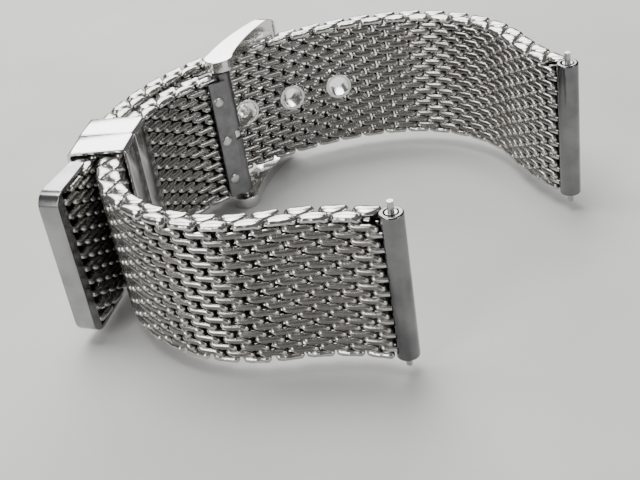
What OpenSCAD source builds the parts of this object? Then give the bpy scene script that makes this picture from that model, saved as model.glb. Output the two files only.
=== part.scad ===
// Woven steel mesh watch band, buckled into its wrist loop and standing on one edge.
// Z runs across the band's width. The open side, where a watch head would sit, faces -Y.
// A strand is a row of flat wire coils, each one threaded through the next. The short strand
// ends in the buckle, the long one runs over it and through both keepers, and ends in the tail.

/* [Band] */
// Width of the band, the standard size between two lugs
band_w = 20; // [16:1:24]
// Thickness of the mesh
band_t = 3.2; // [2.8:0.1:3.6]
// Gap between the two strands where they lie on each other
layer_gap = 0.3; // [0.2:0.05:0.6]

/* [Weave] */
// Wire thickness
wire_d = 0.86; // [0.7:0.02:0.9]
// Distance between two turns of one coil, across the band
turn_pitch = 2; // [1.9:0.1:2.4]
// Distance between two coils, along the band
coil_pitch = 1.92; // [1.86:0.02:2]
// Width of the wire where it bends over the band's edge plane
bend_w = 0.7; // [0.6:0.02:0.74]
// Play between the bends of two linked coils
link_play = 0.1; // [0.06:0.02:0.16]
// Gap between the wire ends of every second coil
end_gap = 0.36; // [0.3:0.02:0.5]

/* [Strands] */
// Point between the two keepers, midway between the strands, from the loop's middle
crossing_x = -21.5; // [-24:0.1:-19]
// The same point's distance from the line through the two lug bars
crossing_y = 45.8; // [44:0.1:48]
// Heading of both strands at that point
crossing_turn = 31.3; // [29:0.1:33]
// Coils from the crossing to the watch head on the short strand, as [coils, degrees each]
short_head_bends = [[2, 2.2], [6, 5.9], [5, 5.5], [6, 5.4], [7, -3.6]];
// Coils from the crossing to the buckle on the short strand
short_buckle_bends = [[2, -3.5], [7, -5.9], [2, 0]];
// Coils from the crossing to the watch head on the long strand
long_head_bends = [[2, -3], [14, -3.5], [8, -2], [6, -3.5], [6, -5.5], [6, -5.5], [6, 3]];
// Coils from the crossing to the tail's tip on the long strand
long_tail_bends = [[2, 0], [5, -3]];

/* [End tubes] */
// Outer diameter of the tube at each end
tube_d = 2.9; // [2.6:0.1:3.4]
// How deep the last coil is soldered into its tube
solder_depth = 0.05; // [0.02:0.01:0.1]

/* [Spring bars] */
// Outer diameter of a bar's barrel
barrel_d = 1.5; // [1.4:0.05:1.7]
// Wall of the barrel
barrel_wall = 0.2; // [0.15:0.01:0.25]
// Diameter of the tip that enters a lug hole
nose_d = 0.8; // [0.7:0.05:0.9]
// Length of that tip
nose_l = 1.45; // [1.3:0.05:1.6]
// How far each tip can be pushed in
tip_travel = 1.45; // [1.3:0.05:1.5]
// Radial clearance of a shaft in its bore
running_fit = 0.05; // [0.03:0.01:0.08]

/* [Buckle clip] */
// Thickness of the folded plate
plate_t = 0.5; // [0.4:0.05:0.7]
// How far the plate stays inside the band's edges
plate_inset = 0.7; // [0.4:0.1:1.2]
// How far the plate reaches back from the strand's end over the last coil
plate_grip = 1.3; // [1.1:0.1:2.4]
// Outer diameter of the knuckle
knuckle_d = 2.4; // [2.2:0.1:2.8]
// Distance from the strand's end to the pin, along the strand
pin_along = 1.95; // [1.95:0.05:2.6]
// Distance from the strand's middle plane to the pin, outward
pin_out = -0.4; // [-0.8:0.1:0.4]
// Distance from the strand's end back to the rivets
rivet_back = 0.25; // [0.1:0.05:0.5]
// Distance between two of the three rivets
rivet_pitch = 6.4; // [5.6:0.1:7]
// Diameter of a rivet's shank
rivet_d = 1; // [0.8:0.1:1.2]

/* [Buckle frame and tang] */
// Distance from the pin to the crossbar
frame_l = 15.8; // [15.4:0.1:16.4]
// Heading of the frame when closed
frame_turn = 12.8; // [12.4:0.1:14]
// Width of an arm, across the band
arm_t = 1.7; // [1.5:0.1:2.2]
// Gap between an arm and the band's edge
arm_gap = 0.6; // [0.5:0.1:0.9]
// Height of an arm at the pin
arm_root_h = 4.2; // [3.2:0.1:4.4]
// Height of an arm at the crossbar
arm_end_h = 1.8; // [1.6:0.1:2.2]
// How far an arm bows outward between its two ends
arm_bow = 0.9; // [0.4:0.1:1.2]
// Radius of the frame's two corners, seen from outside
frame_corner = 3; // [2:0.1:4]
// Thickness of the tang, and its width
tang_t = 0.9; // [0.8:0.05:1]
tang_w = 1.1; // [0.9:0.05:1.3]
// Distance of the tang's two knees from the band's faces, inside and outside
tang_in = 1.1; // [0.9:0.1:1.4]
tang_out = 0.9; // [0.8:0.1:1.2]
// How far the tang's tip reaches past the crossbar
tang_past = 1.4; // [1:0.1:2]

/* [Holes] */
// Bore of a hole's eyelet
hole_d = 3.1; // [2.9:0.05:3.3]
// Wall of an eyelet
eyelet_wall = 0.35; // [0.25:0.05:0.45]
// Distance between two holes
hole_pitch = 8; // [7.5:0.1:8.5]
// Distance from the crossing to the hole that the tang is in
tang_hole_at = 32; // [31:0.1:33]

/* [Keepers and tail] */
// Length of a keeper along the band
keeper_l = 4.7; // [4:0.1:5]
// Wall of a keeper
keeper_wall = 0.5; // [0.4:0.05:0.7]
// Clearance round the strands inside a keeper
keeper_play = 0.25; // [0.2:0.05:0.4]
// Gap between the two keepers
keeper_gap = 0.3; // [0.25:0.05:0.5]
// Turn of the fixed keeper from the crossing's heading
fixed_keeper_turn = -2.2; // [-3:0.1:-1]
// Turn of the sliding keeper from the crossing's heading
sliding_keeper_turn = 0.6; // [0:0.1:1]
// Length of the bar across the tail's end
tip_l = 1.6; // [1.2:0.1:2.2]
// Thickness of that bar, through the band
tip_t = 2.9; // [2.6:0.1:3.2]
// Width of the bar's leg along each edge of the band
tip_leg_w = 0.5; // [0.4:0.05:0.7]
// How far the legs reach back from the strand's end
tip_leg_l = 6.4; // [4:0.2:7]
// How much a leg narrows towards its end
tip_taper = 0.8; // [0.4:0.1:1.2]
// Radius of the tip's two corners
tip_round = 2; // [1.6:0.1:3]

/* [Hidden] */
$fn = 72;

// The coil: flat runs of wire on both faces, joined by bends in the two ends
face = (band_t - wire_d) / 2;
turns = round(band_w / turn_pitch);
pitch = band_w / turns;
bend_at = (coil_pitch + bend_w + link_play) / 2;
run_end = coil_pitch - end_gap / 2;
first_run = (pitch / 2 - band_w) / 2;
bend_l = norm([2 * face, pitch / 2]);
bend_lean = atan2(pitch / 2, 2 * face);

// Heights, with the frame's lower arm standing on z = 0
frame_w = band_w + 2 * (arm_gap + arm_t);
mid_z = frame_w / 2;

// Each coil of a strand is turned a little from the one before it
function degrees_of(bends) = [for (b = bends) each [for (i = [1:b[0]]) b[1]]];
function heading(a) = [cos(a), sin(a)];
// Seam points of a strand as [x, y, heading of the coil that starts there]
function seams(degrees, start, turn) = [
    for (i = 0, h = turn, p = start; i <= len(degrees);
            p = p + coil_pitch * heading(h), h = h + (i < len(degrees) ? degrees[i] : 0), i = i + 1)
        [p.x, p.y, h]];
// The strand's end keeps the heading of its last coil
function end_of(line) = [line[len(line) - 1].x, line[len(line) - 1].y, line[len(line) - 2].z];
// A point at a distance along a strand, on its middle plane
function at(line, s) = let (i = floor(s / coil_pitch), p = line[i])
    [p.x + (s - i * coil_pitch) * cos(p.z), p.y + (s - i * coil_pitch) * sin(p.z), p.z];
// A point moved along and to the left of its own heading
function moved(p, along, left) = [p.x + along * cos(p.z) - left * sin(p.z),
    p.y + along * sin(p.z) + left * cos(p.z), p.z];

crossing = [crossing_x, crossing_y, crossing_turn];
half_layers = (band_t + layer_gap) / 2;
inner_start = moved(crossing, 0, -half_layers);
outer_start = moved(crossing, 0, half_layers);
short_head = seams(degrees_of(short_head_bends), inner_start, crossing_turn + 180);
short_buckle = seams(degrees_of(short_buckle_bends), inner_start, crossing_turn);
long_head = seams(degrees_of(long_head_bends), outer_start, crossing_turn);
long_tail = seams(degrees_of(long_tail_bends), outer_start, crossing_turn + 180);
short_head_n = len(short_head) - 1;
short_buckle_n = len(short_buckle) - 1;
long_head_n = len(long_head) - 1;
long_tail_n = len(long_tail) - 1;

// Tubes and their bars
tube_off = bend_at + bend_w / 2 - solder_depth + tube_d / 2 - coil_pitch / 2;
tube_12 = moved(end_of(short_head), tube_off, 0);
tube_6 = moved(end_of(long_head), tube_off, 0);
bar_bore = barrel_d + 2 * running_fit;
lug_bar_reach = band_w / 2 + nose_l;
flange_t = 0.6;
flange_play = 0.1;
flange_d = barrel_d - flange_play;
lip_l = 0.3;
lip_w = 0.075;
lip_d = barrel_d - 2 * (barrel_wall + lip_w);
head_l = 2.5;
head_d = barrel_d - 2 * barrel_wall - 2 * running_fit;
neck_d = lip_d - 2 * running_fit;
head_play = 0.05;
spring_wire_r = 0.1;
spring_turns = 10;

// Clip, pin, frame and tang
clip_end = end_of(short_buckle);
clip_w = band_w - 2 * plate_inset;
pin = moved(clip_end, pin_along, pin_out);
coil_stop = run_end - coil_pitch / 2;
plate_play = 0.1;
plate_at = band_t / 2 + plate_play;
rivet_head_w = 0.3;
rivet_head_d = rivet_d + 2 * rivet_head_w;
rivet_head_h = 0.25;
shank_play = 0.05;
fuse = 0.1;
knee_swell = 0.06;
tang_eye_wall = 0.25;
tang_eye_d = bar_bore + 2 * tang_eye_wall;
tang_play = 0.25;
bar_touch = 0.05;
eye_wall = 0.3;
buckle_bar_reach = frame_w / 2 - eye_wall - running_fit;
crossbar = moved([pin.x, pin.y, frame_turn], frame_l, 0);
tang_hole = at(long_head, tang_hole_at);
inner_knee = moved(tang_hole, 0, -band_t / 2 - tang_in);
outer_knee = moved(tang_hole, 0, band_t / 2 + tang_out);
to_bar = [crossbar.x - outer_knee.x, crossbar.y - outer_knee.y];
tang_lift = arm_end_h / 2 + tang_t / 2 + bar_touch;
tang_tip_turn = atan2(to_bar.y, to_bar.x) + asin(tang_lift / norm(to_bar));
tang_tip_l = sqrt(pow(norm(to_bar), 2) - pow(tang_lift, 2)) + tang_past;
tang_end = moved([outer_knee.x, outer_knee.y, tang_tip_turn], tang_tip_l, 0);

// Holes of the long strand, counted from the one that the tang is in
hole_steps = [-2, -1, 0, 1, 2];
eyelet_d = hole_d + 2 * eyelet_wall;
eyelet_play = 0.05;
eyelet_rim = 0.15;
rim_at = band_t / 2 + eyelet_play;
function hole_at(step) = tang_hole_at + step * hole_pitch;

// Keepers
keeper_in_t = 2 * band_t + layer_gap + 2 * keeper_play;
keeper_in_w = band_w + 2 * keeper_play;
keeper_round = 0.8;
tail_end = coil_stop + plate_play + tip_l;
tip_in_w = band_w + 2 * plate_play;

// Middle of the whole band's box, which is the origin
tail_corners = [for (y = [-1, 1])
    moved(end_of(long_tail), tail_end, y * tip_t / 2)];
coil_corners = [for (i = [0:long_head_n - 1]) for (x = [-1, 1])
    moved(long_head[i], coil_pitch / 2 + x * run_end, face)];
rims = [for (k = hole_steps) for (x = [-1, 1])
    moved(at(long_head, hole_at(k)), x * (eyelet_d / 2 + eyelet_rim), rim_at + eyelet_rim)];
low = [min([for (p = tail_corners) p.x]), min(tube_12.y, tube_6.y) - tube_d / 2];
high = [max([for (p = coil_corners) p.x]) + wire_d / 2, max([for (p = rims) p.y])];
middle = (low + high) / 2;

// Stretches of each strand that are one rigid body
short_root = [0, 5];
short_parts = [[6, 10], [11, 15], [16, 20], [21, short_head_n - 1]];
short_clip_from = 4;
long_root = [0, 22];
long_split = 9;
long_parts = [[23, 28], [29, 33], [34, 38], [39, 42], [43, long_head_n - 1]];
tail_root = [0, 2];

module place(p) translate([p.x - middle.x, p.y - middle.y, mid_z]) rotate(p.z) children();

// One coil, lying along x, with its faces at -y and +y
module coil() {
    color([0.78, 0.78, 0.76]) {
        runs(face, first_run);
        runs(-face, first_run + pitch / 2);
        for (k = [0:turns - 1])
            bend([bend_at, face, first_run + k * pitch], 90 - bend_lean);
        for (k = [0:turns - 2])
            bend([-bend_at, -face, first_run + pitch / 2 + k * pitch], bend_lean - 90);
    }
}

module runs(y, z)
    translate([-run_end, 0, 0]) rotate([90, 0, 90]) linear_extrude(2 * run_end)
        for (k = [0:turns - 1]) translate([y, z + k * pitch]) circle(d = wire_d);

module bend(p, lean)
    translate(p) rotate([lean, 0, 0]) rotate(45) cylinder(d = bend_w * sqrt(2), h = bend_l, $fn = 4);

// Every second coil is the same coil turned end for end
module coils(line, from, to)
    for (i = [from:to])
        place(moved(line[i], coil_pitch / 2, 0)) rotate(180 * (i % 2)) coil();

// A shape across the band's thickness at a distance along a strand
module across(line, s) place(at(line, s)) rotate([90, 0, 0]) children();

module drilled(line, holes, from, to)
    difference() {
        coils(line, from, to);
        for (s = holes) across(line, s)
            cylinder(d = eyelet_d + 2 * eyelet_play, h = 2 * band_t, center = true);
    }

function is_between(s, from, to) = s > (from - 1) * coil_pitch && s < (to + 2) * coil_pitch;
function holes_in(from, to) =
    [for (k = hole_steps) if (is_between(hole_at(k), from, to)) hole_at(k)];

module long_mesh(from, to)
    drilled(long_head, holes_in(from, to), from, to);

module short_mesh_keeper() {
    coils(short_head, short_root[0], short_root[1]);
    coils(short_buckle, 0, short_clip_from - 1);
}

module short_mesh_clip()
    difference() {
        coils(short_buckle, short_clip_from, short_buckle_n - 1);
        place(clip_end) rivet_places()
            cylinder(d = rivet_d + 2 * shank_play, h = 2 * band_t, center = true);
    }

module long_mesh_keeper() {
    coils(long_tail, tail_root[0], tail_root[1]);
    long_mesh(long_root[0], long_split - 1);
}

module long_mesh_buckle() long_mesh(long_split, long_root[1]);

module tail_mesh() coils(long_tail, tail_root[1] + 1, long_tail_n - 1);

// Bar across the tail's last coil, with a leg along each edge that narrows on the inner side
module tail_tip() {
    back = -tip_leg_l;
    inside = coil_stop + plate_play;
    color([0.85, 0.85, 0.83]) place(end_of(long_tail)) difference() {
        rotate([90, 0, 0]) linear_extrude(tip_t, center = true)
            polygon(rounded_end(back, tail_end, tip_in_w / 2 + tip_leg_w, tip_round));
        translate([back - 1, -tip_t, -tip_in_w / 2]) cube([inside - back + 1, 2 * tip_t, tip_in_w]);
        linear_extrude(2 * band_w, center = true)
            polygon([[inside, tip_t / 2], [back, tip_t / 2 - tip_taper], [back - 1, tip_t]]);
    }
}

// Outline with two rounded corners at its far end
arc_steps = 6;
function arc(c, r, from, to) =
    [for (i = [0:arc_steps]) c + r * heading(from + (to - from) * i / arc_steps)];
function rounded_end(x0, x1, half, r) = concat([[x0, -half]],
    arc([x1 - r, r - half], r, -90, 0), arc([x1 - r, half - r], r, 0, 90), [[x0, half]]);

module end_tube(p)
    color([0.8, 0.8, 0.8]) place(p) difference() {
        cylinder(d = tube_d, h = band_w, center = true);
        cylinder(d = bar_bore, h = band_w + 2, center = true);
    }

// Spring bar: reach is the distance from its middle to the end of a tip
function flange_at(reach) = reach - nose_l - flange_t;
function barrel_half(reach) = flange_at(reach) - tip_travel - flange_play;
function head_end(reach) = barrel_half(reach) - lip_l - head_play;

module barrel(p, reach) {
    half = barrel_half(reach);
    color([0.66, 0.66, 0.66]) place(p) difference() {
        cylinder(d = barrel_d, h = 2 * half, center = true);
        cylinder(d = barrel_d - 2 * barrel_wall, h = 2 * (half - lip_l), center = true);
        cylinder(d = lip_d, h = 2 * half + 1, center = true);
    }
}

module bar_tip(p, reach, up)
    color([0.72, 0.72, 0.7]) place(p) mirror([0, 0, up ? 0 : 1]) {
        translate([0, 0, head_end(reach) - head_l]) cylinder(d = head_d, h = head_l);
        translate([0, 0, head_end(reach) - fuse])
            cylinder(d = neck_d, h = flange_at(reach) - head_end(reach) + 2 * fuse);
        translate([0, 0, flange_at(reach)]) cylinder(d = flange_d, h = flange_t);
        translate([0, 0, flange_at(reach) + fuse]) cylinder(d = nose_d, h = nose_l + flange_t - fuse);
    }

// Coil spring between the two tips, as one tube of three-sided rings
module bar_spring(p, reach) {
    room = 2 * (head_end(reach) - head_l) - 4 * spring_wire_r;
    r = head_d / 2 - spring_wire_r;
    steps = spring_turns * 8;
    points = [for (i = [0:steps]) let (a = i * 45, z = room * (i / steps - 0.5))
        for (b = [0, 120, 240])
            [(r + spring_wire_r * cos(b)) * cos(a), (r + spring_wire_r * cos(b)) * sin(a),
             z + spring_wire_r * sin(b)]];
    walls = [for (i = [0:steps - 1]) for (j = [0:2]) let (a = 3 * i + j, b = 3 * i + (j + 1) % 3)
        each [[a, b + 3, b], [a, a + 3, b + 3]]];
    ends = [[0, 1, 2], [3 * steps + 2, 3 * steps + 1, 3 * steps]];
    color([0.6, 0.62, 0.66]) place(p) polyhedron(points, concat(walls, ends));
}

// Folded plate round the end of the short strand, with the knuckle for the buckle's pin
// and a window in the fold for the tang's eye
module buckle_clip() {
    spine = coil_stop + plate_play;
    outside = plate_at + plate_t;
    window = tang_eye_d + 2 * tang_play;
    color([0.36, 0.36, 0.38]) place(clip_end) difference() {
        union() {
            linear_extrude(clip_w, center = true)
                translate([-plate_grip, -outside]) square([plate_grip + spine + plate_t, 2 * outside]);
            linear_extrude(band_w, center = true) {
                translate([spine, pin_out - knuckle_d / 2 + fuse])
                    square([pin_along - spine, knuckle_d - 2 * fuse]);
                translate([pin_along, pin_out]) circle(d = knuckle_d);
            }
        }
        translate([-2 * plate_grip, -plate_at, -band_w])
            cube([2 * plate_grip + spine, 2 * plate_at, 2 * band_w]);
        translate([pin_along, pin_out, 0]) cylinder(d = bar_bore, h = band_w + 2, center = true);
        translate([spine - plate_play / 2, pin_out - window / 2, -tang_w / 2 - tang_play])
            cube([2 * knuckle_d, window, tang_w + 2 * tang_play]);
        rivet_places() cylinder(d = rivet_d + 2 * shank_play, h = 3 * band_t, center = true);
    }
}

module rivet_places()
    for (k = [-1:1]) translate([-rivet_back, 0, k * rivet_pitch]) rotate([90, 0, 0]) children();

module clip_rivets() {
    seat = plate_at + plate_t;
    color([0.7, 0.7, 0.7]) place(clip_end) rivet_places() {
        cylinder(d = rivet_d, h = 2 * seat + fuse, center = true);
        for (m = [0, 1]) mirror([0, 0, m]) translate([0, 0, seat])
            cylinder(d1 = rivet_head_d, d2 = rivet_d, h = rivet_head_h);
    }
}

// Bowed arms with eyes on the pin, joined by the crossbar
bow_steps = 10;
function bow(a, b, c) = [for (i = [0:bow_steps]) let (t = i / bow_steps)
    pow(1 - t, 2) * a + 2 * t * (1 - t) * b + t * t * c];
module frame_side() {
    root = arm_root_h / 2 - fuse;
    end = arm_end_h / 2 - fuse;
    mid_h = (root + end) / 2;
    circle(d = arm_root_h);
    translate([frame_l, 0]) circle(d = arm_end_h);
    polygon(concat(
        bow([0, -root], [frame_l / 2, 2 * arm_bow - mid_h], [frame_l, -end]),
        bow([frame_l, end], [frame_l / 2, 2 * arm_bow + mid_h], [0, root])));
}

module buckle_frame()
    color([0.86, 0.86, 0.84]) place([pin.x, pin.y, frame_turn]) difference() {
        intersection() {
            linear_extrude(frame_w, center = true) frame_side();
            rotate([90, 0, 0]) linear_extrude(3 * arm_root_h, center = true)
                polygon(rounded_end(-arm_root_h, frame_l + arm_end_h / 2, frame_w / 2, frame_corner));
        }
        rotate([90, 0, 0]) linear_extrude(3 * arm_root_h, center = true)
            polygon(rounded_end(-2 * arm_root_h, frame_l - arm_end_h / 2, frame_w / 2 - arm_t,
                frame_corner - arm_t));
        cylinder(d = nose_d + 2 * running_fit, h = frame_w - 2 * eye_wall, center = true);
    }

// Flat tang with an eye on the pin, bent up through the hole and over the crossbar
module bar_between(p, q) {
    run = [q.x - p.x, q.y - p.y];
    translate([p.x, p.y]) rotate(atan2(run.y, run.x)) translate([0, -tang_t / 2])
        square([norm(run), tang_t]);
    translate([q.x, q.y]) circle(d = tang_t + knee_swell);
}

module buckle_tang()
    color([0.86, 0.86, 0.84]) translate([-middle.x, -middle.y, mid_z])
        linear_extrude(tang_w, center = true) difference() {
            union() {
                translate([pin.x, pin.y]) circle(d = tang_eye_d);
                bar_between(pin, inner_knee);
                bar_between(inner_knee, outer_knee);
                bar_between(outer_knee, tang_end);
            }
            translate([pin.x, pin.y]) circle(d = bar_bore);
        }

// Rectangular loop round both strands
module keeper(side, line_turn) {
    mid = moved(crossing, side * (keeper_gap + keeper_l) / 2, 0);
    out_t = keeper_in_t + 2 * keeper_wall;
    out_w = keeper_in_w + 2 * keeper_wall;
    color([0.84, 0.84, 0.83]) place([mid.x, mid.y, line_turn]) rotate([90, 0, 90])
        linear_extrude(keeper_l, center = true) difference() {
            rounded(out_t, out_w, keeper_round);
            square([keeper_in_t, keeper_in_w], center = true);
        }
}

module rounded(w, h, r)
    polygon(concat(arc([w / 2 - r, h / 2 - r], r, 0, 90), arc([r - w / 2, h / 2 - r], r, 90, 180),
        arc([r - w / 2, r - h / 2], r, 180, 270), arc([w / 2 - r, r - h / 2], r, 270, 360)));

// Sleeve with a thin rim on each face of the band
module eyelet(s)
    color([0.88, 0.88, 0.86]) across(long_head, s) difference() {
        union() {
            cylinder(d = eyelet_d, h = 2 * rim_at + fuse, center = true);
            for (m = [0, 1]) mirror([0, 0, m]) translate([0, 0, rim_at])
                cylinder(d = eyelet_d + 2 * eyelet_rim, h = eyelet_rim);
        }
        cylinder(d = hole_d, h = 2 * band_t, center = true);
    }

short_mesh_keeper();
short_mesh_clip();
for (i = [0:len(short_parts) - 1])
    coils(short_head, short_parts[i][0], short_parts[i][1]);
long_mesh_keeper();
long_mesh_buckle();
for (i = [0:len(long_parts) - 1])
    long_mesh(long_parts[i][0], long_parts[i][1]);
tail_mesh();
tail_tip();
end_tube(tube_12);  // end_tube_12
end_tube(tube_6);  // end_tube_6
barrel(tube_12, lug_bar_reach);  // bar_12_barrel
bar_spring(tube_12, lug_bar_reach);  // bar_12_spring
bar_tip(tube_12, lug_bar_reach, true);  // bar_12_upper_tip
bar_tip(tube_12, lug_bar_reach, false);  // bar_12_lower_tip
barrel(tube_6, lug_bar_reach);  // bar_6_barrel
bar_spring(tube_6, lug_bar_reach);  // bar_6_spring
bar_tip(tube_6, lug_bar_reach, true);  // bar_6_upper_tip
bar_tip(tube_6, lug_bar_reach, false);  // bar_6_lower_tip
barrel(pin, buckle_bar_reach);  // buckle_bar_barrel
bar_spring(pin, buckle_bar_reach);  // buckle_bar_spring
bar_tip(pin, buckle_bar_reach, true);  // buckle_bar_upper_tip
bar_tip(pin, buckle_bar_reach, false);  // buckle_bar_lower_tip
buckle_clip();
clip_rivets();
buckle_frame();
buckle_tang();
keeper(1, crossing_turn + fixed_keeper_turn);  // fixed_keeper
keeper(-1, crossing_turn + sliding_keeper_turn);  // sliding_keeper
/* hole_eyelets */ for (k = hole_steps) if (hole_at(k) < long_parts[0][0] * coil_pitch) eyelet(hole_at(k));
/* free_hole_eyelet */ for (k = hole_steps) if (hole_at(k) > long_parts[0][0] * coil_pitch) eyelet(hole_at(k));
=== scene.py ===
import math
import bpy
import bmesh
import numpy as np
from mathutils import Matrix, Vector


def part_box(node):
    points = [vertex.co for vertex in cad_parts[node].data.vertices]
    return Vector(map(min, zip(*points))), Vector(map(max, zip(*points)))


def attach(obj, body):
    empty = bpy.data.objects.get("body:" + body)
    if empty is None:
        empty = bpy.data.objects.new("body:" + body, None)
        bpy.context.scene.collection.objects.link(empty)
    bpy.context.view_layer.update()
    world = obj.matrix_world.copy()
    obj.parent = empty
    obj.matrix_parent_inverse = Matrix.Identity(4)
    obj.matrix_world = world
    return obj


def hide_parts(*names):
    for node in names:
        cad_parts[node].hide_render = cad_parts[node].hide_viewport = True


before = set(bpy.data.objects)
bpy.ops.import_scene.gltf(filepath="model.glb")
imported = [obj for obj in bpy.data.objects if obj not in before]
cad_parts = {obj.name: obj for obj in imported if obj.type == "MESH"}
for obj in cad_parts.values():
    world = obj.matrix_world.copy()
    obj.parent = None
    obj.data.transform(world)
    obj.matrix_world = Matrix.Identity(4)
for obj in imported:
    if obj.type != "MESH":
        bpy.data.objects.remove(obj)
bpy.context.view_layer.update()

MM = 0.001

# Driving sizes of the band, in millimetres
BAND_W = 20.0
BAND_T = 3.2
LAYER_GAP = 0.3
WIRE_D = 0.86
COIL_PITCH = 1.92
TURNS = 10
BEND_AT = 1.49
BEND_WIRE_D = 0.70
CROSSING = (-21.5, 45.8, 31.3)
SHORT_HEAD_BENDS = [(2, 2.2), (6, 5.9), (5, 5.5), (6, 5.4), (7, -3.6)]
SHORT_BUCKLE_BENDS = [(2, -3.5), (7, -5.9), (2, 0.0)]
LONG_HEAD_BENDS = [(2, -3.0), (14, -3.5), (8, -2.0), (6, -3.5), (6, -5.5), (6, -5.5), (6, 3.0)]
LONG_TAIL_BENDS = [(2, 0.0), (5, -3.0)]
TUBE_OFF = 2.15
TUBE_D = 2.9
TUBE_ROUND = 0.22
BAR_BORE = 1.6
HOLE_D = 3.1
EYELET_WALL = 0.35
EYELET_RIM = 0.15
EYELET_PROUD = 0.05
EYELET_SUNK = 0.1
HOLE_PITCH = 8.0
TANG_HOLE_AT = 32.0
RIVET_D = 1.0
RIVET_PITCH = 6.4
RIVET_BACK = 0.25
RIVET_RIM = 0.3
RIVET_DOME = 0.23
RIVET_LIFT = 0.02
RIVET_PLAY = 0.05
PLATE_AT = 1.7
PLATE_T = 0.5
KEEPER_L = 4.7
KEEPER_GAP = 0.3
KEEPER_WALL = 0.5
KEEPER_IN_T = 7.2
KEEPER_IN_W = 20.5
KEEPER_ROUND = 0.8
STRIP_ROUND = 0.16
FIXED_KEEPER_TURN = -2.2
SLIDING_KEEPER_TURN = 0.6

PITCH = BAND_W / TURNS
FACE = (BAND_T - WIRE_D) / 2
FIRST_RUN = (PITCH / 2 - BAND_W) / 2


def degrees_of(bends):
    return [turn for count, turn in bends for _ in range(count)]


def seams(degrees, start, turn):
    """Seam points of a strand as (x, y, heading of the coil that starts there)."""
    x, y = start[:2]
    line = [(x, y, turn)]
    for bend in degrees:
        x += COIL_PITCH * math.cos(math.radians(turn))
        y += COIL_PITCH * math.sin(math.radians(turn))
        turn += bend
        line.append((x, y, turn))
    return line


def moved(p, along, left):
    c, s = math.cos(math.radians(p[2])), math.sin(math.radians(p[2]))
    return (p[0] + along * c - left * s, p[1] + along * s + left * c, p[2])


def end_of(line):
    return (line[-1][0], line[-1][1], line[-2][2])


def at(line, s):
    i = int(s // COIL_PITCH)
    return moved(line[i], s - i * COIL_PITCH, 0)


HALF_LAYERS = (BAND_T + LAYER_GAP) / 2
inner_start = moved(CROSSING, 0, -HALF_LAYERS)
outer_start = moved(CROSSING, 0, HALF_LAYERS)
short_head = seams(degrees_of(SHORT_HEAD_BENDS), inner_start, CROSSING[2] + 180)
short_buckle = seams(degrees_of(SHORT_BUCKLE_BENDS), inner_start, CROSSING[2])
long_head = seams(degrees_of(LONG_HEAD_BENDS), outer_start, CROSSING[2])
long_tail = seams(degrees_of(LONG_TAIL_BENDS), outer_start, CROSSING[2] + 180)

# The drawing's own axes meet the frame's where the tube at 12 o'clock is
tube_low, tube_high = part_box("end_tube_12")
tube_12 = moved(end_of(short_head), TUBE_OFF, 0)
tube_6 = moved(end_of(long_head), TUBE_OFF, 0)
MIDDLE = (tube_12[0] - (tube_low.x + tube_high.x) / 2 / MM,
          tube_12[1] - (tube_low.y + tube_high.y) / 2 / MM)
MID_Z = (tube_low.z + tube_high.z) / 2 / MM


def place(p):
    """Rotation and translation, in millimetres, of something that lies along a strand at p."""
    a = math.radians(p[2])
    turn = np.array([[math.cos(a), -math.sin(a), 0], [math.sin(a), math.cos(a), 0], [0, 0, 1]])
    return turn, np.array([p[0] - MIDDLE[0], p[1] - MIDDLE[1], MID_Z])


def across(p):
    """The same, for something whose own axis z runs through the band's thickness."""
    turn, shift = place(p)
    return turn @ np.array([[1, 0, 0], [0, 0, -1], [0, 1, 0]]), shift


def put(points, where):
    turn, shift = where
    return np.asarray(points, float) @ turn.T + shift


# Materials

BUMP_DEPTH = 0.05
LINES_PER_PATCH = 9
# Where, on the wires' depth attribute, the painted shade in the weave and the painted dark reflection on
# the flats fade in
PAINTED_SHADE_FADE = (0.24, 0.50)
PAINTED_REFLECTION_FADE = (-0.9, -0.4)


def nodes_of(name):
    material = bpy.data.materials.new(name)
    material.use_nodes = True
    tree = material.node_tree
    tree.nodes.clear()
    out = tree.nodes.new("ShaderNodeOutputMaterial")
    shader = tree.nodes.new("ShaderNodeBsdfPrincipled")
    tree.links.new(shader.outputs["BSDF"], out.inputs["Surface"])
    return material, tree, shader


def noise(tree, scale, detail, stretch=(1, 1, 1), rough=0.5):
    coords = tree.nodes.new("ShaderNodeTexCoord")
    mapping = tree.nodes.new("ShaderNodeMapping")
    mapping.inputs["Scale"].default_value = stretch
    texture = tree.nodes.new("ShaderNodeTexNoise")
    texture.inputs["Scale"].default_value = scale
    texture.inputs["Detail"].default_value = detail
    texture.inputs["Roughness"].default_value = rough
    tree.links.new(coords.outputs["Object"], mapping.inputs["Vector"])
    tree.links.new(mapping.outputs["Vector"], texture.inputs["Vector"])
    return texture.outputs["Fac"]


def ramp(tree, fac, low, high, start=0.35, end=0.65):
    node = tree.nodes.new("ShaderNodeMapRange")
    node.inputs["From Min"].default_value = start
    node.inputs["From Max"].default_value = end
    node.inputs["To Min"].default_value = low
    node.inputs["To Max"].default_value = high
    tree.links.new(fac, node.inputs["Value"])
    return node.outputs["Result"]


def mixed(tree, fac, low, high):
    node = tree.nodes.new("ShaderNodeMix")
    node.data_type = "RGBA"
    for socket, value in zip((node.inputs[6], node.inputs[7]), (low, high)):
        if isinstance(value, tuple):
            socket.default_value = (*value, 1)
        else:
            tree.links.new(value, socket)
    tree.links.new(fac, node.inputs[0])
    return node.outputs[2]


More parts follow.
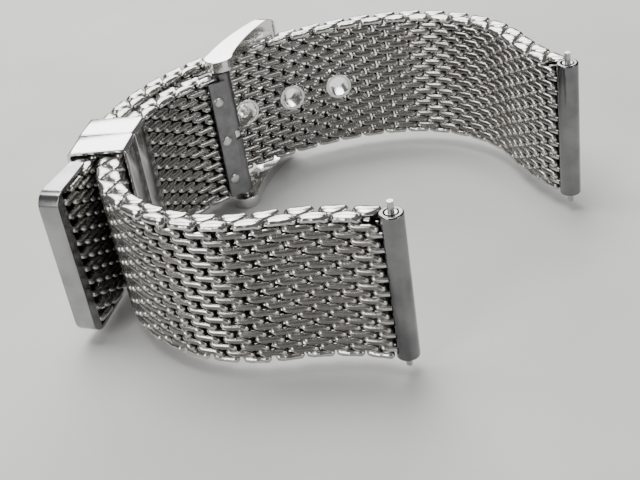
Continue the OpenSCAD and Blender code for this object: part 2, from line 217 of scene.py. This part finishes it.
def steel(name, dark, light, rough, patch=400, scratch=(1, 1, 12), bump=0.03, painted_shade=None,
          painted_reflection=None):
    """Steel with soft patches of tone, fine lines in its roughness and surface and, where given, painted
    shade that darkens the middle of the weave and a painted dark reflection on the flats at the faces."""
    material, tree, shader = nodes_of(name)
    shader.inputs["Metallic"].default_value = 1
    patches = noise(tree, patch, 4)
    lines = noise(tree, patch * LINES_PER_PATCH, 2, scratch, 0.6)
    colour = mixed(tree, ramp(tree, patches, 0, 1), dark, light)
    roughness = ramp(tree, lines, *rough)
    if painted_shade:
        # Painted shade: the weave turns near black towards its middle, where shade falls between the wires
        depth = tree.nodes.new("ShaderNodeAttribute")
        depth.attribute_name = "painted_shade"
        painted_shade_mask = ramp(tree, depth.outputs["Fac"], 0, 1, *PAINTED_SHADE_FADE)
        # Painted dark reflection: the flats at the faces take a dark tone that stands for dark
        # surroundings mirrored in them
        flat = ramp(tree, depth.outputs["Fac"], 1, 0, *PAINTED_REFLECTION_FADE)
        colour = mixed(tree, painted_shade_mask, colour, painted_shade)
        colour = mixed(tree, flat, colour, painted_reflection)
    tree.links.new(colour, shader.inputs["Base Color"])
    tree.links.new(roughness, shader.inputs["Roughness"])
    bumps = tree.nodes.new("ShaderNodeBump")
    bumps.inputs["Strength"].default_value = bump
    bumps.inputs["Distance"].default_value = BUMP_DEPTH * MM
    tree.links.new(lines, bumps.inputs["Height"])
    tree.links.new(bumps.outputs["Normal"], shader.inputs["Normal"])
    return material


# The near-black tone is painted shade in the middle of the weave; the dark tone after it is a painted dark
# reflection on the flats at the faces
woven = steel("woven_steel", (0.46, 0.45, 0.43), (0.64, 0.63, 0.60), (0.15, 0.27), 900,
              (1, 1, 4), 0.12, (0.045, 0.043, 0.04), (0.19, 0.186, 0.177))
polished = steel("polished_steel", (0.60, 0.60, 0.60), (0.70, 0.70, 0.69), (0.10, 0.18), 300)
bright = steel("bright_steel", (0.68, 0.68, 0.67), (0.78, 0.77, 0.75), (0.14, 0.24), 300)
# The tube's dark tone is a painted dark reflection: polished steel that mirrors dark surroundings
tube_steel = steel("tube_steel", (0.14, 0.14, 0.145), (0.21, 0.21, 0.21), (0.10, 0.18), 250,
                   (6, 6, 0.5), 0.05)
tail_steel = steel("tail_steel", (0.26, 0.26, 0.265), (0.34, 0.34, 0.34), (0.16, 0.26), 300)
dark_plate = steel("dark_plate", (0.16, 0.16, 0.165), (0.22, 0.22, 0.225), (0.34, 0.46), 500,
                   (1, 1, 0.2), 0.10)
rivet_steel = steel("rivet_steel", (0.50, 0.50, 0.50), (0.62, 0.62, 0.61), (0.22, 0.32), 700)
bar_steel = steel("bar_steel", (0.42, 0.42, 0.42), (0.55, 0.55, 0.54), (0.22, 0.36), 600)
spring_wire = steel("spring_wire", (0.34, 0.35, 0.37), (0.45, 0.46, 0.48), (0.25, 0.38), 900)


# Pieces

def piece(name, points, faces, material, body, slot, nodes=(), smooth=35, attributes=None):
    """A mesh in millimetres, made into a piece that rides on a body and stands for some nodes."""
    mesh = bpy.data.meshes.new(name)
    mesh.from_pydata((np.asarray(points) * MM).tolist(), [], faces)
    mesh.validate()
    for key, values in (attributes or {}).items():
        mesh.attributes.new(key, "FLOAT", "POINT").data.foreach_set("value", values)
    mesh.materials.append(material)
    obj = bpy.data.objects.new(name, mesh)
    bpy.context.scene.collection.objects.link(obj)
    work = bmesh.new()
    work.from_mesh(mesh)
    bmesh.ops.recalc_face_normals(work, faces=work.faces)
    work.to_mesh(mesh)
    work.free()
    mesh.shade_smooth()
    if smooth:
        mesh.set_sharp_from_angle(angle=math.radians(smooth))
    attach(obj, body)
    if nodes:
        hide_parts(*nodes)
    return obj


def tube_faces(rings, sides):
    """Faces of a capped tube whose rings follow each other in the list of points."""
    faces = []
    for r in range(rings - 1):
        for s in range(sides):
            a, b = r * sides + s, r * sides + (s + 1) % sides
            faces.append((a, b, b + sides, a + sides))
    faces.append(tuple(range(sides - 1, -1, -1)))
    faces.append(tuple(range((rings - 1) * sides, rings * sides)))
    return faces


def joined(parts):
    points, faces = [], []
    for p, f in parts:
        base = sum(len(q) for q in points)
        points.append(np.asarray(p))
        faces += [tuple(v + base for v in face) for face in f]
    return np.concatenate(points), faces


# One coil of the weave: a flattened helix whose wire thins in its bends and is ground flat at the faces

SIDES = 12
STRAIGHT = 1.26
SLANT = -0.08
EARLY_RISE = 0.8
KINK = 0.13
KINK_AT = 0.85
NECK = 0.86
BEND_STEPS = 8
BEND_SQUARE = 3.2
SECTION_SQUARE = 2.2
WIRE_HEIGHT = 0.90
GROUND = 0.012
EDGE_WIDTH = 2.0
EDGE_HEIGHT = 1.0
END_REACH = 1.74
EDGE_STEPS = 14
EDGE_JOIN = 0.6
EDGE_CAP = 0.22
EDGE_BLUNT = 0.25
EDGE_SWELL = 1.3
STUB_REACH = 0.25
STUB_Y = 0.95


def power(value, exponent):
    return math.copysign(abs(value) ** exponent, value)


def bend_rows(side, z):
    """Rows of one bend at x = side, from the face on that side, at height z, to the other one."""
    rows = []
    for step in range(1, BEND_STEPS):
        a = math.pi * step / BEND_STEPS
        x = STRAIGHT + (BEND_AT - STRAIGHT) * math.sin(a) ** (2 / BEND_SQUARE)
        even = step / BEND_STEPS
        share = EARLY_RISE * even + (1 - EARLY_RISE) * (1 - math.cos(a)) / 2
        rise = SLANT / 2 + KINK + (PITCH / 2 - SLANT - 2 * KINK) * share
        wide = (WIRE_D + (BEND_WIRE_D - WIRE_D) * math.sin(a)) / 2
        high = (WIRE_HEIGHT + (BEND_WIRE_D - WIRE_HEIGHT) * math.sin(a)) / 2
        y = FACE * power(math.cos(a), 2 / BEND_SQUARE)
        rows.append((side * x, side * y, z + rise, wide, high))
    return rows


def edge_run(side, z):
    """Rows of the first or last run: a lens that swells over the middle of the band's thickness."""
    rows = []
    for step in range(EDGE_STEPS + 1):
        x = -1 + step * (1 + EDGE_JOIN) / EDGE_STEPS
        swell = math.cos(x * math.pi / 2) ** EDGE_SWELL
        short = max(0, EDGE_CAP - 1 - x) / EDGE_CAP
        end = max(EDGE_BLUNT, math.sqrt(1 - min(1, short) ** 2))
        wide = WIRE_D + (EDGE_WIDTH - WIRE_D) * swell
        high = WIRE_HEIGHT + (EDGE_HEIGHT - WIRE_HEIGHT) * swell
        rows.append((side * x * END_REACH, side * (BAND_T - wide) / 2, z, end * wide / 2, end * high / 2))
    return rows


def coil_path():
    """Centre line as rows of (x, y, z, half the width, half the height), rising through all turns."""
    wide, high = WIRE_D / 2, WIRE_HEIGHT / 2
    last = 2 * TURNS - 1
    rows = []
    for half in range(last + 1):
        side = 1 if half % 2 == 0 else -1
        z = FIRST_RUN + half * PITCH / 2
        if half == 0:
            rows += edge_run(side, z)
        elif half == last:
            rows += [(-x, y, *rest) for x, y, *rest in reversed(edge_run(side, z))]
        else:
            for x, rise, thin in ((-STRAIGHT, -KINK - SLANT / 2, NECK), (-KINK_AT, -SLANT / 2, 1),
                                  (KINK_AT, SLANT / 2, 1), (STRAIGHT, KINK + SLANT / 2, NECK)):
                rows.append((side * x, side * FACE, z + rise, wide, thin * high))
        if half < last:
            rows += bend_rows(side, z)
    return rows


def swept(rows):
    """Points of a wire with a flattened section along its rows, and how deep each of them lies."""
    rows = np.array(rows)
    centre, wide, high = rows[:, :3], rows[:, 3:4], rows[:, 4:5]
    along = np.gradient(centre, axis=0)
    along /= np.linalg.norm(along, axis=1)[:, None]
    flat = along[:, :2] / np.linalg.norm(along[:, :2], axis=1)[:, None]
    out = np.stack([-flat[:, 1], flat[:, 0], np.zeros(len(flat))], axis=1)
    up = np.cross(along, out)
    rings = []
    for s in range(SIDES):
        a = 2 * math.pi * (s + 0.5) / SIDES
        c, h = power(math.cos(a), 2 / SECTION_SQUARE), power(math.sin(a), 2 / SECTION_SQUARE)
        rings.append(centre + wide * c * out + high * h * up)
    points = np.stack(rings, axis=1).reshape(-1, 3)
    points[:, 1] = np.clip(points[:, 1], GROUND - BAND_T / 2, BAND_T / 2 - GROUND)
    # How deep each point lies, which sets the painted shade and the painted reflection: 0 at the faces and
    # the two edges, 1 in the middle of the weave, -1 on the ground flats
    deep = np.clip(1 - np.abs(points[:, 1]) / (BAND_T / 2), 0, 1)
    deep[np.abs(points[:, 2]) > (BAND_W - PITCH) / 2] = 0
    deep[np.abs(points[:, 1]) > BAND_T / 2 - 1.5 * GROUND] = -1
    return points, deep, tube_faces(len(rows), SIDES)


COIL_POINTS, COIL_PAINTED_SHADE, COIL_FACES = swept(coil_path())
HALF_TURN = np.diag([-1.0, -1.0, 1.0])


def staples(turned_round):
    """The bends of a coil that hooks into a strand's last coil, with short ends that run into the tube."""
    side = 1 if turned_round else -1
    found = []
    for half in range(2 * TURNS - 1):
        if (1 if half % 2 == 0 else -1) != side:
            continue
        z = FIRST_RUN + half * PITCH / 2
        first = [(-side * STUB_REACH, side * STUB_Y, z - SLANT / 2, BEND_WIRE_D / 2, BEND_WIRE_D / 2),
                 (side * STRAIGHT, side * FACE, z + SLANT / 2, WIRE_D / 2, WIRE_HEIGHT / 2)]
        last = [(x, -y, 2 * z + PITCH / 2 - height, w, h) for x, y, height, w, h in reversed(first)]
        found.append(swept(first + bend_rows(side, z) + last))
    return found


def coils(line, first, last):
    """Points of the coils of one stretch, every second one given a half turn."""
    found = []
    for i in range(first, last + 1):
        own = COIL_POINTS @ HALF_TURN if i % 2 else COIL_POINTS
        found.append(put(own, place(moved(line[i], COIL_PITCH / 2, 0))))
    return found


def drill(obj, cutters):
    """Cuts round holes, each given as (place, radius), through a piece's wires."""
    work = bmesh.new()
    for where, radius in cutters:
        made = bmesh.ops.create_cone(work, cap_ends=True, segments=48, radius1=radius * MM,
                                     radius2=radius * MM, depth=2.2 * BAND_T * MM)
        turn, shift = where
        matrix = Matrix.Translation(Vector(shift * MM)) @ Matrix(turn.tolist()).to_4x4()
        bmesh.ops.transform(work, matrix=matrix, verts=made["verts"])
    tool_mesh = bpy.data.meshes.new("drill")
    work.to_mesh(tool_mesh)
    work.free()
    tool = bpy.data.objects.new("drill", tool_mesh)
    bpy.context.scene.collection.objects.link(tool)
    cut = obj.modifiers.new("holes", "BOOLEAN")
    cut.operation = "DIFFERENCE"
    cut.solver = "EXACT"
    cut.use_self = True
    cut.object = tool
    graph = bpy.context.evaluated_depsgraph_get()
    result = bpy.data.meshes.new_from_object(obj.evaluated_get(graph))
    obj.modifiers.clear()
    obj.data = result
    bpy.data.objects.remove(tool)


def woven_piece(node, body, stretches, holes=(), stubs=()):
    """The flattened wires of one stretch of the mesh, standing for its CAD node."""
    found = [p for line, first, last in stretches for p in coils(line, first, last)]
    # How deep each point lies, which sets where the painted shade and the painted reflection go
    painted_shade = [COIL_PAINTED_SHADE] * len(found)
    parts = [(points, COIL_FACES) for points in found]
    for points, deep, faces in stubs:
        parts.append((points, faces))
        painted_shade.append(deep)
    points, faces = joined(parts)
    obj = piece("wires_" + node, points, faces, woven, body, "woven_wire", (node,), 75,
                {"painted_shade": np.concatenate(painted_shade)})
    if holes:
        drill(obj, holes)
    return obj


HOLES = [TANG_HOLE_AT + k * HOLE_PITCH for k in (-2, -1, 0, 1, 2)]
EYELET_R = HOLE_D / 2 + EYELET_WALL


def holes_near(first, last):
    low, high = (first - 1) * COIL_PITCH, (last + 2) * COIL_PITCH
    return [(across(at(long_head, s)), EYELET_R) for s in HOLES if low < s < high]


clip_end = end_of(short_buckle)
turn, shift = across(moved(clip_end, -RIVET_BACK, 0))
rivet_places = [(turn, shift + np.array([0, 0, row * RIVET_PITCH])) for row in (-1, 0, 1)]

ROOT = "buckle_end"
woven_piece("short_mesh_keeper", ROOT, [(short_head, 0, 5), (short_buckle, 0, 3)])
woven_piece("short_mesh_clip", ROOT, [(short_buckle, 4, 10)],
            [(p, RIVET_D / 2 + RIVET_PLAY) for p in rivet_places])


def hooked_end(line):
    """The partial coil between a strand's last coil and its tube."""
    i = len(line) - 1
    there = place(moved((*line[i][:2], line[i - 1][2]), COIL_PITCH / 2, 0))
    turned_round = i % 2 == 1
    own = HALF_TURN if turned_round else np.eye(3)
    return [(put(points @ own, there), deep, faces) for points, deep, faces in staples(turned_round)]


for number, (first, last) in enumerate([(6, 10), (11, 15), (16, 20), (21, 25)], 1):
    woven_piece(f"short_mesh_{number}", f"short_link_{number}", [(short_head, first, last)],
                stubs=hooked_end(short_head) if last == 25 else ())
woven_piece("long_mesh_keeper", ROOT, [(long_tail, 0, 2), (long_head, 0, 8)], holes_near(0, 8))
woven_piece("long_mesh_buckle", ROOT, [(long_head, 9, 22)], holes_near(9, 22))
for number, (first, last) in enumerate([(23, 28), (29, 33), (34, 38), (39, 42), (43, 47)], 1):
    woven_piece(f"long_mesh_{number}", f"long_link_{number}", [(long_head, first, last)],
                holes_near(first, last), hooked_end(long_head) if last == 47 else ())
woven_piece("tail_mesh", "tail", [(long_tail, 3, 6)])


# Turned pieces

def rounded(corners, radius, steps=4):
    """A closed outline whose convex and concave corners are all rounded by the same radius."""
    outline = []
    count = len(corners)
    for i, corner in enumerate(corners):
        here = np.array(corner, float)
        before = np.array(corners[i - 1], float) - here
        after = np.array(corners[(i + 1) % count], float) - here
        reach = min(radius, 0.45 * np.linalg.norm(before), 0.45 * np.linalg.norm(after))
        a = here + before / np.linalg.norm(before) * reach
        b = here + after / np.linalg.norm(after) * reach
        for k in range(steps + 1):
            t = k / steps
            outline.append(tuple((1 - t) ** 2 * a + 2 * t * (1 - t) * here + t * t * b))
    return outline


def turned(outline, where, segments=64):
    """A closed outline of (radius, height) turned round the place's own axis."""
    count = len(outline)
    points = []
    for s in range(segments):
        a = 2 * math.pi * s / segments
        points += [(r * math.cos(a), r * math.sin(a), h) for r, h in outline]
    faces = []
    for s in range(segments):
        for k in range(count):
            a, b = s * count, (s + 1) % segments * count
            j = (k + 1) % count
            faces.append((a + k, b + k, b + j, a + j))
    return put(points, where), faces


def eyelet(s):
    rim = BAND_T / 2 + EYELET_PROUD + EYELET_RIM
    seat = BAND_T / 2 - EYELET_SUNK
    wide = EYELET_R + EYELET_RIM
    bore = HOLE_D / 2
    outline = rounded([(bore, -rim), (wide, -rim), (wide, -seat), (EYELET_R, -seat),
                       (EYELET_R, seat), (wide, seat), (wide, rim), (bore, rim)], STRIP_ROUND)
    return turned(outline, across(at(long_head, s)))


near, far = [s for s in HOLES if s < 23 * COIL_PITCH], [s for s in HOLES if s > 23 * COIL_PITCH]
piece("eyelet_rings", *joined([eyelet(s) for s in near]), bright, ROOT, "polished_steel",
      ("hole_eyelets",))
piece("eyelet_ring_free", *joined([eyelet(s) for s in far]), bright, "long_link_1",
      "polished_steel", ("free_hole_eyelet",))


def end_tube(p):
    outside, bore, half = TUBE_D / 2, BAR_BORE / 2, BAND_W / 2
    outline = rounded([(bore, -half), (outside, -half), (outside, half), (bore, half)], TUBE_ROUND)
    return turned(outline, place(p), 96)


piece("head_tube_12", *end_tube(tube_12), tube_steel, "short_link_4", "tube_steel", ("end_tube_12",))
piece("head_tube_6", *end_tube(tube_6), tube_steel, "long_link_5", "tube_steel", ("end_tube_6",))


RIVET_SIDES = 32


def rivet(where):
    """A round shank with a low dome on each side."""
    seat, shank, head = PLATE_AT + PLATE_T, RIVET_D / 2, RIVET_D / 2 + RIVET_RIM
    upper = [(shank, seat), (head - RIVET_LIFT, seat)]
    for degrees in (0, 20, 40, 60, 78, 88):
        a = math.radians(degrees)
        upper.append((head * math.cos(a), seat + RIVET_LIFT + RIVET_DOME * math.sin(a)))
    outline = [(r, -h) for r, h in reversed(upper)] + upper
    points, faces = turned(outline, where, RIVET_SIDES)
    count = len(outline)
    faces = [f for f in faces if {f[0] % count, f[3] % count} != {0, count - 1}]
    faces.append(tuple(s * count for s in range(RIVET_SIDES)))
    faces.append(tuple(s * count + count - 1 for s in range(RIVET_SIDES - 1, -1, -1)))
    return points, faces


piece("rivet_domes", *joined([rivet(w) for w in rivet_places]), rivet_steel, ROOT, "rivet_steel",
      ("clip_rivets",))


# Keepers: a flat band with rounded edges, bent into a loop

def loop_outline(width, height, radius, steps=10):
    """Rounded rectangle as rows of (x, y, outward x, outward y)."""
    rows = []
    for quarter, (sx, sy) in enumerate(((1, 1), (-1, 1), (-1, -1), (1, -1))):
        for k in range(steps + 1):
            a = math.radians(90 * quarter + 90 * k / steps)
            x = sx * (width / 2 - radius) + radius * math.cos(a)
            y = sy * (height / 2 - radius) + radius * math.sin(a)
            rows.append((x, y, math.cos(a), math.sin(a)))
    return rows


def keeper(side, turn):
    mid = moved(CROSSING, side * (KEEPER_GAP + KEEPER_L) / 2, 0)
    half, wall = KEEPER_L / 2, KEEPER_WALL
    section = rounded([(-half, 0), (half, 0), (half, wall), (-half, wall)], STRIP_ROUND)
    points = []
    path = loop_outline(KEEPER_IN_T + 2 * wall, KEEPER_IN_W + 2 * wall, KEEPER_ROUND)
    for x, y, nx, ny in path:
        points += [(u, x - v * nx, y - v * ny) for u, v in section]
    faces = []
    count = len(section)
    for r in range(len(path)):
        a, b = r * count, (r + 1) % len(path) * count
        for k in range(count):
            j = (k + 1) % count
            faces.append((a + k, a + j, b + j, b + k))
    return put(points, place((mid[0], mid[1], CROSSING[2] + turn))), faces


piece("keeper_band_fixed", *keeper(1, FIXED_KEEPER_TURN), polished, ROOT, "polished_steel",
      ("fixed_keeper",))
piece("keeper_band_sliding", *keeper(-1, SLIDING_KEEPER_TURN), polished, "sliding_keeper",
      "polished_steel", ("sliding_keeper",))


# CAD nodes that keep their own shape get a finish and, where they are sheet metal, soft edges

def finish_node(name, material, edge=0.0):
    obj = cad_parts[name]
    obj.data.materials.clear()
    obj.data.materials.append(material)
    if edge:
        weld = obj.modifiers.new("one_skin", "WELD")
        weld.merge_threshold = 0.002 * MM
        flat = obj.modifiers.new("whole_faces", "DECIMATE")
        flat.decimate_type = "DISSOLVE"
        flat.angle_limit = math.radians(1)
        soften = obj.modifiers.new("soft_edges", "BEVEL")
        soften.width = edge * MM
        soften.segments = 3
        soften.limit_method = "ANGLE"
        soften.angle_limit = math.radians(35)
        normals = obj.modifiers.new("even_normals", "WEIGHTED_NORMAL")
        normals.keep_sharp = False


finish_node("tail_tip", tail_steel, 0.2)
finish_node("buckle_clip", dark_plate, 0.08)
finish_node("buckle_frame", bright, 0.3)
finish_node("buckle_tang", bright, 0.12)
for bar in ("bar_12", "bar_6", "buckle_bar"):
    finish_node(bar + "_barrel", bar_steel)
    finish_node(bar + "_upper_tip", bar_steel)
    finish_node(bar + "_lower_tip", bar_steel)
    finish_node(bar + "_spring", spring_wire)


# Camera, floor and light

CAMERA_AT = (-101.91, -64.64, 82.44)
STRAP_FOOT = MID_Z - BAND_W / 2
LOOK = Vector((0.6203, 0.5791, -0.5290)).normalized()
ROLL = math.radians(-9.486)
FOCAL_PX = 1100
FRAME_PX = 640

right = LOOK.cross(Vector((0, 0, 1))).normalized()
up = right.cross(LOOK)
image_right = math.cos(ROLL) * right + math.sin(ROLL) * up
image_up = math.cos(ROLL) * up - math.sin(ROLL) * right
camera = bpy.data.objects.new("camera", bpy.data.cameras.new("camera"))
camera.data.sensor_width = 36
camera.data.lens = 36 * FOCAL_PX / FRAME_PX
camera.data.clip_start = 0.005
turn = Matrix((image_right, image_up, -LOOK)).transposed().to_4x4()
spot = Vector((CAMERA_AT[0] - MIDDLE[0], CAMERA_AT[1] - MIDDLE[1], CAMERA_AT[2] + STRAP_FOOT)) * MM
camera.matrix_world = Matrix.Translation(spot) @ turn
bpy.context.scene.collection.objects.link(camera)
bpy.context.scene.camera = camera

bpy.ops.mesh.primitive_plane_add(size=2.4, location=(0, 0, 0))
floor = bpy.context.object
floor.name = "floor"
floor_material, floor_tree, floor_shader = nodes_of("pale_floor")
floor_tone = mixed(floor_tree, ramp(floor_tree, noise(floor_tree, 30, 3), 0, 1),
                   (0.56, 0.56, 0.555), (0.60, 0.60, 0.595))
floor_tree.links.new(floor_tone, floor_shader.inputs["Base Color"])
floor_shader.inputs["Roughness"].default_value = 0.75
floor.data.materials.append(floor_material)


def soft_light(name, at, aim, size, power, colour=(1, 1, 1)):
    light = bpy.data.lights.new(name, "AREA")
    light.shape = "RECTANGLE"
    light.size, light.size_y = size
    light.energy = power
    light.color = colour
    obj = bpy.data.objects.new(name, light)
    obj.location = at
    obj.rotation_euler = (Vector(aim) - Vector(at)).to_track_quat("-Z", "Y").to_euler()
    bpy.context.scene.collection.objects.link(obj)


soft_light("top_box", (0.02, 0.13, 0.42), (0, 0, 0), (0.30, 0.26), 2.5, (1, 1, 0.97))
soft_light("back_box", (0.34, 0.34, 0.30), (0, 0, 0.01), (0.42, 0.24), 2.6, (1, 1, 1))
soft_light("left_box", (-0.40, 0.02, 0.20), (0, 0, 0.01), (0.14, 0.30), 1.0, (1, 0.99, 0.96))
soft_light("front_box", (0.05, -0.42, 0.16), (0, 0, 0.01), (0.24, 0.05), 0.5, (1, 1, 1))

world = bpy.data.worlds.new("studio")
world.use_nodes = True
world.node_tree.nodes["Background"].inputs["Color"].default_value = (0.42, 0.42, 0.43, 1)
world.node_tree.nodes["Background"].inputs["Strength"].default_value = 0.36
bpy.context.scene.world = world
